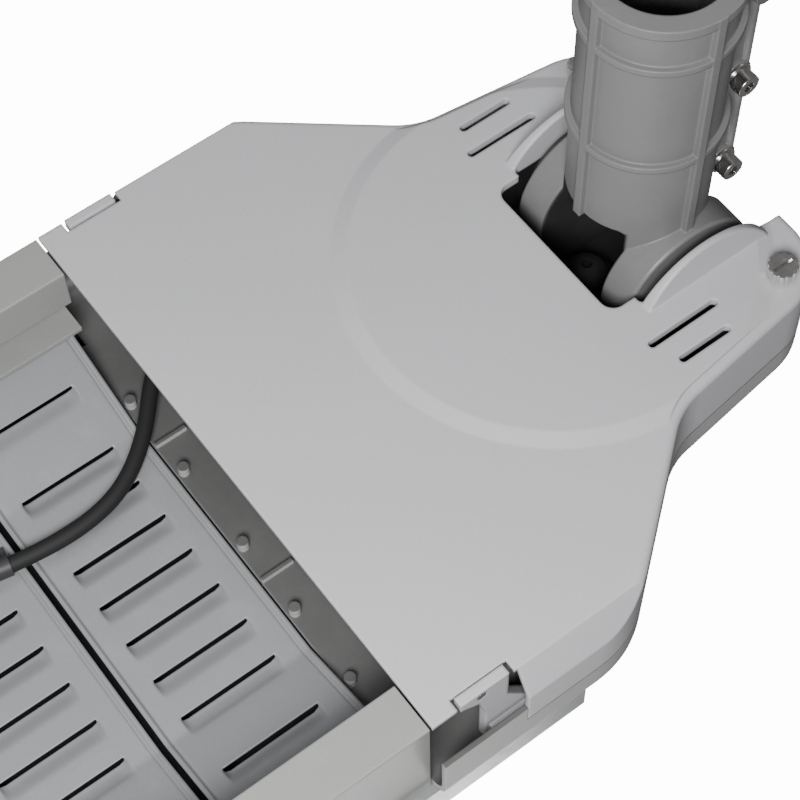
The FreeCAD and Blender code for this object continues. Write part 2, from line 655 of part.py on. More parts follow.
# ---- Open bay -----------------------------------------------------------------------------------
def side_rail():
    """Extruded side member: hollow rail, web and ledges for the sheets and the panel."""
    rail = box(BAY_REAR, HEAD_REAR, RAIL_IN, TOP_HALF, 0, RAIL_DEEP)
    long_edges = [e for e in rail.Edges if abs(e.Length - (HEAD_REAR - BAY_REAR)) < 1e-3]
    rail = rail.makeFillet(1.2, long_edges)
    web = box(BAY_REAR, HEAD_REAR, TOP_HALF - 3, TOP_HALF, RAIL_DEEP - 2, HOUSING_TOP)
    top = box(BAY_REAR, HEAD_REAR, 152, TOP_HALF, HOUSING_TOP - 3, HOUSING_TOP)
    ledge = box(BAY_REAR, HEAD_REAR, SHEET_EDGE_HALF - 1, TOP_HALF - 2, SHEET_EDGE_DEPTH - 3, SHEET_EDGE_DEPTH)
    cavity = box(BAY_REAR - 1, HEAD_REAR + 1, RAIL_IN + 2.2, TOP_HALF - 2.2, 2.2, RAIL_DEEP - 2.2)
    return rail.fuse([web, top, ledge]).cut(cavity).removeSplitter()


def rail_end_cap(x0, x1):
    return box(x0, x1, RAIL_IN + 2.3, TOP_HALF - 2.3, 2.3, RAIL_DEEP - 2.3)


def rail_end_caps():
    return group(both(rail_end_cap(BAY_REAR, BAY_REAR + 8)) + both(rail_end_cap(HEAD_REAR - 8, HEAD_REAR)))


def louvre(length):
    """Recess and tilted blade of one louvre, lying along X at the middle of a sheet's lower face."""
    cut = Part.makeBox(length, 9, 6, V(-length / 2, -4.5, -1))
    blade = Part.Face(Part.makePolygon([V(-length / 2, y, z) for y, z in
                                        ((-5.2, 0), (-4.0, 0), (4.2, 3.2), (4.2, 4.4), (-5.2, 1.2), (-5.2, 0))]))
    blade = blade.extrude(V(length, 0, 0))
    end = Part.Face(Part.makePolygon([V(-length / 2 - 0.8, y, z) for y, z in
                                      ((-5.2, 0.6), (4.5, 0.6), (4.5, 4.4), (4.2, 4.4), (-5.2, 1.2), (-5.2, 0.6))]))
    ends = [end.extrude(V(1.2, 0, 0))]
    far_end = ends[0].copy()
    far_end.translate(V(length + 0.4, 0, 0))
    return cut, blade.fuse([ends[0], far_end])


def louvre_sheet(x0):
    """Folded ventilation sheet: flat middle, sloping sides, hems and rows of louvres."""
    t = 1.2
    x1 = x0 + SHEET_LENGTH
    flat, edge, deep, high = SHEET_FLAT_HALF, SHEET_EDGE_HALF + 14, CEILING, SHEET_EDGE_DEPTH
    knee = SHEET_EDGE_HALF
    below = [(-edge, high), (-knee, high), (-flat, deep), (flat, deep), (knee, high), (edge, high)]
    above = [(y, d + t) for y, d in reversed(below)]
    sheet = prism(below + above, "yz", x0, x1)
    for x in (x0, x1 - 3):
        hem_low = [(-knee, high - 1.2), (-flat, deep - 1.2), (flat, deep - 1.2), (knee, high - 1.2)]
        hem_high = [(y, d + 1.6) for y, d in reversed(hem_low)]
        sheet = sheet.fuse(prism(hem_low + hem_high, "yz", x, x + 3))
    slope = math.degrees(math.atan2(deep - high, knee - flat))
    places = [(k * LOUVRE_PITCH, deep, 0.0) for k in range(-3, 4)]
    middle_y, middle_d = (flat + knee) / 2 + 4, (deep + high) / 2 - 1.4
    places += [(middle_y, middle_d, -slope), (-middle_y, middle_d, slope)]
    for y, depth, turn in places:
        for tool, action in zip(louvre(LOUVRE_LENGTH), ("cut", "add")):
            tool.rotate(V(0, 0, 0), V(1, 0, 0), turn)
            tool.translate(V((x0 + x1) / 2 + 1, y, up(depth)))
            sheet = sheet.cut(tool) if action == "cut" else sheet.fuse(tool)
    return sheet.removeSplitter()


def sheet_rivets():
    solids = []
    for k in range(3):
        for x in (SHEET_REAR + k * SHEET_PITCH + 8, SHEET_REAR + k * SHEET_PITCH + SHEET_LENGTH - 8):
            head = Part.makeSphere(3.2, V(x, 147, up(SHEET_EDGE_DEPTH + 1.2)))
            head = head.common(box(x - 5, x + 5, 140, 154, SHEET_EDGE_DEPTH + 1.2, SHEET_EDGE_DEPTH + 5))
            solids += both(head)
    return group(solids)


# ---- Solar panel --------------------------------------------------------------------------------
def panel_frame_side(sign):
    """Long frame member, mitred at its ends."""
    y_out, y_in = PANEL_HALF, PANEL_HALF - FRAME_FLANGE
    section = [(y_out, PANEL_BOTTOM), (y_out, PANEL_TOP), (y_out - 7, PANEL_TOP), (y_out - 7, PANEL_TOP - 1.5),
               (y_out - FRAME_WALL, PANEL_TOP - 1.5), (y_out - FRAME_WALL, PANEL_TOP - 6.5),
               (y_out - 7, PANEL_TOP - 6.5), (y_out - 7, PANEL_TOP - 8), (y_out - FRAME_WALL, PANEL_TOP - 8),
               (y_out - FRAME_WALL, PANEL_BOTTOM + 2), (y_in, PANEL_BOTTOM + 2), (y_in, PANEL_BOTTOM)]
    bar = prism(section, "yz", PANEL_REAR, PANEL_FRONT)
    length = PANEL_FRONT - PANEL_REAR
    keep = plate([(PANEL_REAR, PANEL_HALF, 0), (PANEL_REAR + 40, PANEL_HALF - 40, 0),
                  (PANEL_REAR + length - 40, PANEL_HALF - 40, 0), (PANEL_FRONT, PANEL_HALF, 0)],
                 PANEL_BOTTOM - 1, PANEL_TOP + 1)
    bar = bar.common(keep)
    return bar if sign > 0 else mirrored(bar)


def panel_frame_end(front):
    """Short frame member, mitred at its ends."""
    out = PANEL_FRONT if front else PANEL_REAR
    sign = -1 if front else 1
    section = [(out, PANEL_BOTTOM), (out, PANEL_TOP), (out + sign * 7, PANEL_TOP),
               (out + sign * 7, PANEL_TOP - 1.5), (out + sign * FRAME_WALL, PANEL_TOP - 1.5),
               (out + sign * FRAME_WALL, PANEL_TOP - 6.5), (out + sign * 7, PANEL_TOP - 6.5),
               (out + sign * 7, PANEL_TOP - 8), (out + sign * FRAME_WALL, PANEL_TOP - 8),
               (out + sign * FRAME_WALL, PANEL_BOTTOM + 2), (out + sign * FRAME_FLANGE, PANEL_BOTTOM + 2),
               (out + sign * FRAME_FLANGE, PANEL_BOTTOM)]
    bar = prism(section, "xz", -PANEL_HALF, PANEL_HALF)
    keep = plate([(out, -PANEL_HALF, 0), (out + sign * 40, -PANEL_HALF + 40, 0),
                  (out + sign * 40, PANEL_HALF - 40, 0), (out, PANEL_HALF, 0)], PANEL_BOTTOM - 1, PANEL_TOP + 1)
    return bar.common(keep)


def laminate(inset, d0, d1):
    return box(PANEL_REAR + inset, PANEL_FRONT - inset, -PANEL_HALF + inset, PANEL_HALF - inset, d0, d1)


def panel_cells():
    """Nine by four silicon cells with clipped corners."""
    solids = []
    length = (PANEL_FRONT - PANEL_REAR - 36) / 9
    width = (2 * PANEL_HALF - 36) / 4
    for i in range(9):
        for j in range(4):
            x = PANEL_REAR + 18 + i * length
            y = -PANEL_HALF + 18 + j * width
            clip = 6.0
            corners = []
            for cx, cy, sx, sy in ((x + 1, y + 1, 1, 1), (x + length - 1, y + 1, -1, 1),
                                   (x + length - 1, y + width - 1, -1, -1), (x + 1, y + width - 1, 1, -1)):
                pair = [(cx, cy + sy * clip, 0), (cx + sx * clip, cy, 0)]
                corners += pair if sx == sy else list(reversed(pair))
            solids.append(plate(corners, PANEL_TOP - 5.2, PANEL_TOP - 4.7))
    return group(solids)


def panel_bond():
    """Sealing compound bead between the laminate and the lower lip of the frame."""
    low, high = PANEL_TOP - 6.5, PANEL_TOP - 5.7
    outer = box(PANEL_REAR + 2, PANEL_FRONT - 2, -PANEL_HALF + 2, PANEL_HALF - 2, low, high)
    return outer.cut(box(PANEL_REAR + 7, PANEL_FRONT - 7, -PANEL_HALF + 7, PANEL_HALF - 7, low - 1, high + 1))


def junction_box():
    """Terminal box under the backsheet, on four stand-off ribs."""
    body = rounded_box(188, 268, -40, 40, HOUSING_TOP + 3, PANEL_TOP - 5.7, 6)
    return body.cut(rounded_box(191, 265, -37, 37, HOUSING_TOP + 5.5, PANEL_TOP - 8, 4))


def panel_feet():
    """Rubber pads between the housing roofs and the panel frame."""
    solids = []
    for x in (200, 250, 580, 650, 715):
        solids += both(box(x, x + 24, 152, 166, HOUSING_TOP, PANEL_BOTTOM))
    return group(solids)


# ---- Light head ---------------------------------------------------------------------------------
def head_corners(inset):
    half = BODY_HALF - 10 - inset
    rear, front = HEAD_REAR + 1 + inset, HEAD_FRONT - inset
    side = [(rear, half, 0), (front - 30, half, 60 - inset), (front, half - 70, 40 - min(inset, 20))]
    return side + [(x, -y, r) for x, y, r in reversed(side)]


def head_housing():
    outer = plate(head_corners(0), 3.2, HOUSING_TOP)
    outer = outer.cut(plate(head_corners(3.5), 2, CEILING))
    for x, y in HEAD_SCREWS:
        boss = rod_z(x, y, 3.2, CEILING + 1, 5.5).cut(rod_z(x, y, 2, 24, 1.9))
        outer = outer.fuse(boss)
    outer = outer.fuse(box(HEAD_REAR - 12, HEAD_REAR + 3, -143, 143, CEILING, HOUSING_TOP))
    outer = outer.cut(rod_x(HEAD_REAR - 2, HEAD_REAR + 8, 44, 58, 7.0))
    return outer.removeSplitter()


HEAD_SCREWS = [(568, 150), (568, -150), (660, 158), (660, -158), (742, 150), (742, -150), (781, 60), (781, -60)]


def head_underplate():
    base = plate(head_corners(0), 0, 3.2)
    window = rounded_box(LENS_REAR, LENS_FRONT, -LENS_HALF, LENS_HALF, -1, 4, 8)
    base = base.cut(window).cut(rod_z(SENSOR_X, 0, -1, 4, 16.5)).cut(rod_z(SENSOR_X, BUTTON_Y, -1, 4, 8.2))
    base = base.cut(rod_z(SENSOR_X, -BUTTON_Y, -1, 4, 4.0))
    for x, y in HEAD_SCREWS:
        base = base.cut(rod_z(x, y, -1, 4, 2.3))
    frame = rounded_box(LENS_REAR - 4, LENS_FRONT + 4, -LENS_HALF - 4, LENS_HALF + 4, -1.6, 0.2, 10)
    return base.fuse(frame.cut(window)).removeSplitter()


def head_screws():
    return group([pan_screw(x, y, 0, True, 1.9, 18, 3.9) for x, y in HEAD_SCREWS])


def lens_pitch():
    return (LENS_FRONT - LENS_REAR - 18) / LENS_ROWS, (2 * LENS_HALF - 20) / LENS_COLUMNS


def lens_centres():
    dx, dy = lens_pitch()
    centres = []
    for i in range(LENS_ROWS):
        for j in range(LENS_COLUMNS):
            centres.append((LENS_REAR + 9 + dx * (i + 0.5), -LENS_HALF + 10 + dy * (j + 0.5)))
    return centres


def lens_plate():
    """Moulded lens plate with one dome over each light chip."""
    seat = rounded_box(LENS_REAR - 8, LENS_FRONT + 8, -LENS_HALF - 8, LENS_HALF + 8, 5.2, 8.2, 10)
    domes = []
    for x, y in lens_centres():
        dome = Part.makeSphere(10.5, V(x, y, up(9.5)))
        domes.append(dome.common(box(x - 12, x + 12, y - 12, y + 12, -3, 6)))
    whole = seat.fuse(domes)
    for x, y in lens_centres():
        whole = whole.cut(rod_z(x, y, 6.2, 9, 4.5))
    return whole.removeSplitter()


def lens_gasket():
    outer = rounded_box(LENS_REAR - 8, LENS_FRONT + 8, -LENS_HALF - 8, LENS_HALF + 8, 3.2, 5.2, 10)
    return outer.cut(rounded_box(LENS_REAR, LENS_FRONT, -LENS_HALF, LENS_HALF, 2, 6, 8))


def led_board():
    return rounded_box(LENS_REAR - 4, LENS_FRONT + 4, -LENS_HALF - 4, LENS_HALF + 4, 10.2, 11.8, 6)


def led_chips():
    return group([box(x - 2.5, x + 2.5, y - 2.5, y + 2.5, 8.6, 10.2) for x, y in lens_centres()])


def heat_sink():
    """Finned plate behind the light board."""
    base = rounded_box(LENS_REAR - 8, LENS_FRONT + 8, -LENS_HALF - 8, LENS_HALF + 8, 11.8, 17, 6)
    fins = []
    for k in range(17):
        y = -LENS_HALF + k * LENS_HALF / 8
        fins.append(box(LENS_REAR, LENS_FRONT, y - 1, y + 1, 16, 52))
    return base.fuse(fins).removeSplitter()


def sensor_base():
    ring = rod_z(SENSOR_X, 0, -3, 0, 21).fuse(rod_z(SENSOR_X, 0, -0.5, 16, 16.4))
    return ring.cut(rod_z(SENSOR_X, 0, -5, 12, 14)).removeSplitter()


def sensor_dome():
    """Motion sensor's lens: a shallow dome of moulded facets' outer shape."""
    ball = Part.makeSphere(14, V(SENSOR_X, 0, up(-3))).cut(Part.makeSphere(12.6, V(SENSOR_X, 0, up(-3))))
    dome = ball.common(box(SENSOR_X - 20, SENSOR_X + 20, -20, 20, -20, -3))
    skirt = rod_z(SENSOR_X, 0, -3, 8, 13.9).cut(rod_z(SENSOR_X, 0, -4, 9, 12.6))
    return dome.fuse(skirt).removeSplitter()


def sensor_element():
    can = rod_z(SENSOR_X, 0, 4, 9, 4.6)
    return can.fuse(rod_z(SENSOR_X, 0, 9, 11.9, 10)).removeSplitter()


def button_bezel():
    ring = rod_z(SENSOR_X, BUTTON_Y, -2.4, 0, 12).fuse(rod_z(SENSOR_X, BUTTON_Y, -0.5, 18, 8.1))
    ring = ring.cut(rod_z(SENSOR_X, BUTTON_Y, -4, 12, 6.06))
    return ring.removeSplitter()


def power_button():
    """Push button that travels up into its bezel."""
    stem = rod_z(SENSOR_X, BUTTON_Y, -5.0, 8.5, 6.0)
    rim = [e for e in stem.Edges if e.Closed and abs(e.CenterOfMass.z - up(-5.0)) < 1e-3]
    stem = stem.makeFillet(1.2, rim)
    dish = Part.makeSphere(20, V(SENSOR_X, BUTTON_Y, up(-24.2)))
    return stem.cut(dish)


def indicator_lens():
    body = rod_z(SENSOR_X, -BUTTON_Y, -0.6, 6, 3.95).fuse(rod_z(SENSOR_X, -BUTTON_Y, 3.2, 6, 5.4))
    tip = Part.makeSphere(3.95, V(SENSOR_X, -BUTTON_Y, up(-0.6)))
    tip = tip.common(box(SENSOR_X - 5, SENSOR_X + 5, -BUTTON_Y - 5, -BUTTON_Y + 5, -3.2, -0.5))
    return body.fuse(tip).removeSplitter()


# ---- All nodes ----------------------------------------------------------------------------------
NODES = {
    "pole_sleeve": pole_sleeve,
    "clamp_bolts": clamp_bolts,
    "clamp_washers": clamp_washers,
    "clamp_nuts": clamp_nuts,
    "upper_housing": upper_housing,
    "knuckle_bolt": knuckle_bolt,
    "knuckle_nut": knuckle_nut,
    "knuckle_washers": knuckle_washers,
    "friction_discs": friction_discs,
    "knuckle_gland": knuckle_gland,
    "hinge_bracket_left": hinge_bracket,
    "hinge_bracket_right": lambda: mirrored(hinge_bracket()),
    "hinge_bracket_screws": hinge_bracket_screws,
    "service_cover": service_cover,
    "cover_hinge_pins": cover_hinge_pins,
    "cover_screws": cover_screws,
    "battery_case": battery_case,
    "battery_lid": battery_lid,
    "battery_cells": battery_cells,
    "battery_board": battery_board,
    "battery_straps": battery_straps,
    "controller_case": controller_case,
    "controller_lid": controller_lid,
    "controller_board": controller_board,
    "battery_lead": battery_lead,
    "controller_gland": lambda: lead_gland(CONTROLLER[1], 118, 58, True),
    "head_gland": lambda: lead_gland(HEAD_REAR + 1, 44, 58, False),
    "lamp_lead": lamp_lead,
    "lead_clips": lead_clips,
    "side_rail_left": side_rail,
    "side_rail_right": lambda: mirrored(side_rail()),
    "rail_end_caps": rail_end_caps,
    "louvre_sheet_rear": lambda: louvre_sheet(SHEET_REAR),
    "louvre_sheet_middle": lambda: louvre_sheet(SHEET_REAR + SHEET_PITCH),
    "louvre_sheet_front": lambda: louvre_sheet(SHEET_REAR + 2 * SHEET_PITCH),
    "sheet_rivets": sheet_rivets,
    "panel_frame_left": lambda: panel_frame_side(1),
    "panel_frame_right": lambda: panel_frame_side(-1),
    "panel_frame_rear": lambda: panel_frame_end(False),
    "panel_frame_front": lambda: panel_frame_end(True),
    "panel_glass": lambda: laminate(2.2, PANEL_TOP - 4.7, PANEL_TOP - 1.5),
    "panel_cells": panel_cells,
    "panel_backsheet": lambda: laminate(2.2, PANEL_TOP - 5.7, PANEL_TOP - 5.2),
    "panel_bond": panel_bond,
    "junction_box": junction_box,
    "panel_feet": panel_feet,
    "head_housing": head_housing,
    "head_underplate": head_underplate,
    "head_screws": head_screws,
    "heat_sink": heat_sink,
    "led_board": led_board,
    "led_chips": led_chips,
    "lens_plate": lens_plate,
    "lens_gasket": lens_gasket,
    "sensor_base": sensor_base,
    "sensor_dome": sensor_dome,
    "sensor_element": sensor_element,
    "button_bezel": button_bezel,
    "power_button": power_button,
    "indicator_lens": indicator_lens,
}


def main():
    os.makedirs("parts", exist_ok=True)
    for name, build in NODES.items():
        shape = build()
        solids = shape.Solids
        print(name, "solids", len(solids), "valid", shape.isValid(), "cm3", round(shape.Volume / 1000, 2))
        whole = solids[0] if len(solids) == 1 else Part.makeCompound(solids)
        whole.exportStep("parts/" + name + ".step")


main()
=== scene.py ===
import json
import math

import bpy
import numpy as np
from bpy.props import FloatProperty, FloatVectorProperty, IntProperty, PointerProperty
from mathutils import Matrix, Vector


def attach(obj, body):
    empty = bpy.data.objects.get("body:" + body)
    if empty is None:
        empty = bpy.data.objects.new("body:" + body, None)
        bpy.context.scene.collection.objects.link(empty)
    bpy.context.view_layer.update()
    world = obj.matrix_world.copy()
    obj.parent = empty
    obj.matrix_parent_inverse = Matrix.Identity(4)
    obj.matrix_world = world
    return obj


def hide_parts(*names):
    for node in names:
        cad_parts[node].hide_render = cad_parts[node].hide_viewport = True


bl_info = {
    "name": "Solar street lamp",
    "version": (1, 0, 0),
    "blender": (4, 5, 0),
    "location": "3D View > Sidebar > Street lamp",
    "description": "Builds the looks of an all-in-one solar street lamp round its packed parts",
    "category": "Object",
}

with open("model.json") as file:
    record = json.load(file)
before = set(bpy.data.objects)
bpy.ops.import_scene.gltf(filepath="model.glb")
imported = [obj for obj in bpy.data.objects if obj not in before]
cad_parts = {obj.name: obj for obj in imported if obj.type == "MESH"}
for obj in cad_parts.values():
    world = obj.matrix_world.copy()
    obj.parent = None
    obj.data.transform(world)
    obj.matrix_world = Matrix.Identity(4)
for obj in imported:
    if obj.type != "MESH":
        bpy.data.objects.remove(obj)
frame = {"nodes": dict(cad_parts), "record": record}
NODES = frame["nodes"]
SLOTS = {part["node"]: part["material_slot"] for part in frame["record"]["subparts"]}
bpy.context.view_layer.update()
MM = 0.001
FACE_Z = 0.187                # height of the cover's outer face; depths are counted up from it


# ---- Sizes and colours a user would change ------------------------------------------------------
def colour_prop(name, description, default):
    return FloatVectorProperty(name=name, description=description, subtype="COLOR", size=3, min=0.0, max=1.0,
                               default=default)


def length_prop(name, description, default):
    return FloatProperty(name=name, description=description, subtype="DISTANCE", unit="LENGTH", min=0.0,
                         default=default)


def share_prop(name, description, default):
    return FloatProperty(name=name, description=description, subtype="FACTOR", min=0.0, max=1.0,
                         default=default)


class CoatSettings(bpy.types.PropertyGroup):
    cover: colour_prop("Cover", "Powder coat of the cover and the head's underside", (0.345, 0.346, 0.358))
    casting: colour_prop("Casting", "Powder coat of the upper housings", (0.27, 0.27, 0.266))
    sleeve: colour_prop("Sleeve", "Satin coat of the pole sleeve", (0.125, 0.124, 0.125))
    rail: colour_prop("Rail", "Coat of the side rails", (0.205, 0.205, 0.199))
    sheet: colour_prop("Sheet", "Coat of the louvred sheets", (0.17, 0.173, 0.181))
    speckle: share_prop("Speckle", "Strength of the coat's light specks", 0.4)
    grain: share_prop("Grain", "Strength of the coat's pimpled skin", 0.35)


class SheetSettings(bpy.types.PropertyGroup):
    length: length_prop("Length", "Length of one louvred sheet", 0.088)
    thickness: length_prop("Thickness", "Thickness of the sheet metal", 0.0012)
    louvre_length: length_prop("Louvre length", "Length of one louvre", 0.058)
    louvre_pitch: length_prop("Louvre pitch", "Distance between louvres", 0.025)
    scoop: length_prop("Scoop", "Rise of a louvre's open edge", 0.0036)
    hem: length_prop("Hem", "Width of the rolled hem", 0.003)


class LeadSettings(bpy.types.PropertyGroup):
    radius: length_prop("Radius", "Radius of the lamp's lead", 0.0045)


class SensorSettings(bpy.types.PropertyGroup):
    rings: IntProperty(name="Rings", description="Rings of lens facets on the motion sensor", min=2, max=12,
                       default=5)


class StageSettings(bpy.types.PropertyGroup):
    floor_z: FloatProperty(name="Floor height", description="Height of the floor under the lamp",
                           subtype="DISTANCE", unit="LENGTH", default=-3.2)
    ambient: FloatProperty(name="Ambient", description="Strength of the studio's even light",
                           min=0.0, default=0.15)
    backdrop: FloatProperty(name="Backdrop", description="Brightness of the white backdrop",
                            min=0.0, default=14.0)


# ---- Shader sockets -----------------------------------------------------------------------------
class Sock:
    """A node socket on which sums, products and comparisons add Math nodes."""

    def __init__(self, tree, socket):
        self.tree = tree
        self.socket = socket

    def node(self, kind, settings=None, **inputs):
        """Adds a node, sets its settings, then links or fills the sockets named by label or place."""
        made = self.tree.nodes.new(kind)
        for key, value in (settings or {}).items():
            if key == "stops":
                ramp = made.color_ramp
                while len(ramp.elements) < len(value):
                    ramp.elements.new(0.5)
                for element, (place, colour) in zip(ramp.elements, value):
                    element.position = place
                    element.color = (*colour, 1.0) if len(colour) == 3 else colour
            else:
                setattr(made, key, value)
        for key, value in inputs.items():
            at = int(key[1:]) if key[0] == "_" and key[1:].isdigit() else key.replace("_", " ")
            plug(self.tree, made.inputs[at], value)
        return made

    def math(self, operation, *values):
        made = self.node("ShaderNodeMath", {"operation": operation},
                         **{"_" + str(place): value for place, value in enumerate(values)})
        return Sock(self.tree, made.outputs[0])

    def __add__(self, other):
        return self.math("ADD", self, other)

    __radd__ = __add__

    def __sub__(self, other):
        return self.math("SUBTRACT", self, other)

    def __rsub__(self, other):
        return self.math("SUBTRACT", other, self)

    def __mul__(self, other):
        return self.math("MULTIPLY", self, other)

    __rmul__ = __mul__

    def __truediv__(self, other):
        return self.math("DIVIDE", self, other)

    def __gt__(self, other):
        return self.math("GREATER_THAN", self, other)

    def __lt__(self, other):
        return self.math("LESS_THAN", self, other)

    def __mod__(self, other):
        return self.math("FLOORED_MODULO", self, other)

    def __abs__(self):
        return self.math("ABSOLUTE", self)

    def smooth(self, low, high):
        """0 below low, 1 above high, with an eased ramp between."""
        made = self.node("ShaderNodeMapRange", {"interpolation_type": "SMOOTHSTEP"}, Value=self, From_Min=low,
                         From_Max=high, To_Min=0.0, To_Max=1.0)
        return Sock(self.tree, made.outputs[0])


def plug(tree, target, value):
    """Links a socket, or writes a plain value into it."""
    if isinstance(value, Sock):
        tree.links.new(value.socket, target)
    elif hasattr(value, "__len__") and len(value) == 3 and len(target.default_value) == 4:
        target.default_value = (*value, 1.0)
    else:
        target.default_value = value


class Finish:
    """A material with one Principled shader, its Object coordinates and shortcuts for textures."""

    def __init__(self, name, **constants):
        self.material = bpy.data.materials.new(name)
        self.material.use_nodes = True
        self.tree = self.material.node_tree
        self.shader = self.tree.nodes["Principled BSDF"]
        self.coords = Sock(self.tree, self.tree.nodes.new("ShaderNodeTexCoord").outputs["Object"])
        for key, value in constants.items():
            plug(self.tree, self.shader.inputs[key.replace("_", " ")], value)

    def out(self, made, label=0):
        return Sock(self.tree, made.outputs[label])

    def axes(self):
        made = self.coords.node("ShaderNodeSeparateXYZ", None, Vector=self.coords)
        return [self.out(made, k) for k in range(3)]

    def noise(self, scale, detail=2.0, roughness=0.5, coords=None):
        made = self.coords.node("ShaderNodeTexNoise", None, Vector=coords or self.coords, Scale=scale,
                                Detail=detail, Roughness=roughness)
        return self.out(made, "Fac")

    def stretched(self, scale):
        made = self.coords.node("ShaderNodeMapping", None, Vector=self.coords, Scale=scale)
        return self.out(made, "Vector")

    def mix(self, factor, first, second):
        made = self.coords.node("ShaderNodeMix", {"data_type": "RGBA"}, _0=factor, _6=first, _7=second)
        return self.out(made, 2)

    def bump(self, height, strength, distance, normal=None):
        inputs = {"Height": height, "Strength": strength, "Distance": distance}
        if normal is not None:
            inputs["Normal"] = normal
        return self.out(self.coords.node("ShaderNodeBump", None, **inputs), "Normal")

    def soft_edges(self, radius):
        return self.out(self.coords.node("ShaderNodeBevel", {"samples": 6}, Radius=radius), "Normal")

    def edge_wear(self, radius):
        """1 on sharp outer edges, where the rounded normal leaves the true one, and 0 on flats."""
        geometry = self.coords.node("ShaderNodeNewGeometry")
        both = self.coords.node("ShaderNodeVectorMath", {"operation": "DOT_PRODUCT"},
                                _0=self.soft_edges(radius), _1=self.out(geometry, "Normal"))
        return 1.0 - self.out(both, "Value").smooth(0.80, 0.995)

    def feed(self, **inputs):
        for key, value in inputs.items():
            plug(self.tree, self.shader.inputs[key.replace("_", " ")], value)
        return self.material


# ---- Finishes -----------------------------------------------------------------------------------
DUST = (0.42, 0.40, 0.37)
# The knuckle and ear sizes below bound the painted shade on the housing and the sleeve.
KNUCKLE_HALF = 0.0532         # half width of the slot that the sleeve's ears turn in
KNUCKLE_REACH = 0.060         # how far that slot runs ahead of the pole's axis
EAR_INNER = 0.0246            # inner face of each ear, out from the middle
EAR_FOOT_Z = FACE_Z - 0.0235
CELL_WIDTH = 0.079
FINGER_PITCH = 0.0022


def shade(value, amount):
    """A colour made lighter or darker by a factor."""
    return tuple(min(1.0, c * amount) for c in value)


def powder_coat(name, colour, rough, edge, dust=0.0, where=None, dark=None):
    """Powder coat: pimpled skin with light specks, faint clouding, and paler thin coat on its edges.

    The optional mask and the dark colour after it paint shade: where the mask is 1, the coat turns to
    blotches round that dark colour, a painted shade.
    """
    look = bpy.context.scene.lamp_coat
    f = Finish(name, Metallic=0.0, IOR=1.5, Specular_IOR_Level=0.45)
    cloud = f.noise(7.0, 3.0)
    fine = f.noise(1900.0, 2.0, 0.6)
    specks = f.noise(3400.0, 1.0).smooth(0.60, 0.74)
    tone = f.mix(cloud, shade(colour, 0.955), shade(colour, 1.045))
    tone = f.mix(specks * look.speckle, tone, shade(colour, 1.9))
    tone = f.mix(fine.smooth(0.62, 0.3) * 0.12, tone, shade(colour, 0.55))
    tone = f.mix(f.edge_wear(edge) * 0.28, tone, shade(colour, 1.35))
    if dust:
        tone = f.mix(f.noise(38.0, 6.0, 0.7).smooth(0.5, 0.75) * dust, tone, DUST)
    # Painted shade: blotches round the dark shade colour wherever the shade mask is 1.
    if where:
        painted_shade = f.mix(f.noise(34.0, 5.0, 0.65), shade(dark, 0.55), shade(dark, 1.4))
        tone = f.mix(where(f), tone, painted_shade)
    skin = f.bump(fine, look.grain, 0.00014, f.soft_edges(edge))
    return f.feed(Base_Color=tone, Roughness=(rough - 0.05) + 0.1 * cloud, Normal=skin)


def inside_housing(f):
    """Mask of painted shade: 1 on faces that look down inside the housing and on the walls beside the
    knuckle.
    """
    geometry = f.coords.node("ShaderNodeNewGeometry")
    normal = f.coords.node("ShaderNodeSeparateXYZ", None, Vector=f.out(geometry, "True Normal"))
    x, y, _ = f.axes()
    down = (f.out(normal, 2) * -1.0).smooth(0.3, 0.7) * 0.92
    across = 1.0 - abs(y).smooth(KNUCKLE_HALF, KNUCKLE_HALF + 0.0004)
    knuckle = across * (1.0 - abs(x).smooth(KNUCKLE_REACH, KNUCKLE_REACH + 0.002))
    return down.math("MAXIMUM", down, knuckle)


def between_ears(f):
    """Mask of painted shade: 1 on the inner faces of the sleeve's two ears and on the bore behind them."""
    _, y, z = f.axes()
    across = 1.0 - abs(y).smooth(EAR_INNER, EAR_INNER + 0.0016)
    return across * z.smooth(EAR_FOOT_Z, EAR_FOOT_Z + 0.002)


def metal(name, colour, rough, streaks=(40.0, 40.0, 40.0), edge=0.0004):
    """Bare metal with drawn or turned streaks and small dull patches."""
    f = Finish(name, Metallic=1.0)
    streak = f.noise(1.0, 3.0, 0.6, f.stretched(streaks))
    dull = f.noise(160.0, 4.0, 0.65).smooth(0.5, 0.75)
    tone = f.mix(streak, shade(colour, 0.84), shade(colour, 1.06))
    tone = f.mix(dull * 0.3, tone, shade(colour, 0.6))
    normal = f.bump(streak, 0.15, 0.0001, f.soft_edges(edge))
    return f.feed(Base_Color=tone, Roughness=(rough - 0.08) + 0.16 * streak + 0.12 * dull, Normal=normal)


def plastic(name, colour, rough, grain=0.3, edge=0.0005, scale=1500.0):
    """Moulded plastic or rubber: fine spark-eroded skin and slow clouding."""
    f = Finish(name, Metallic=0.0, Specular_IOR_Level=0.3)
    fine = f.noise(scale, 2.0)
    cloud = f.noise(14.0, 3.0)
    tone = f.mix(cloud, shade(colour, 0.82), shade(colour, 1.22))
    tone = f.mix(f.edge_wear(edge) * 0.3, tone, shade(colour, 1.7))
    normal = f.bump(fine, grain, 0.0001, f.soft_edges(edge))
    return f.feed(Base_Color=tone, Roughness=(rough - 0.06) + 0.12 * cloud, Normal=normal)


def clear(name, colour, rough, alpha):
    """Clear or milky moulding, slightly hazier in patches."""
    f = Finish(name, Metallic=0.0, IOR=1.5, Alpha=alpha)
    cloud = f.noise(20.0, 2.0)
    ripple = f.noise(300.0, 1.0)
    return f.feed(Base_Color=f.mix(cloud, shade(colour, 0.92), colour), Roughness=rough + 0.06 * cloud,
                  Normal=f.bump(ripple, 0.1, 0.0001))


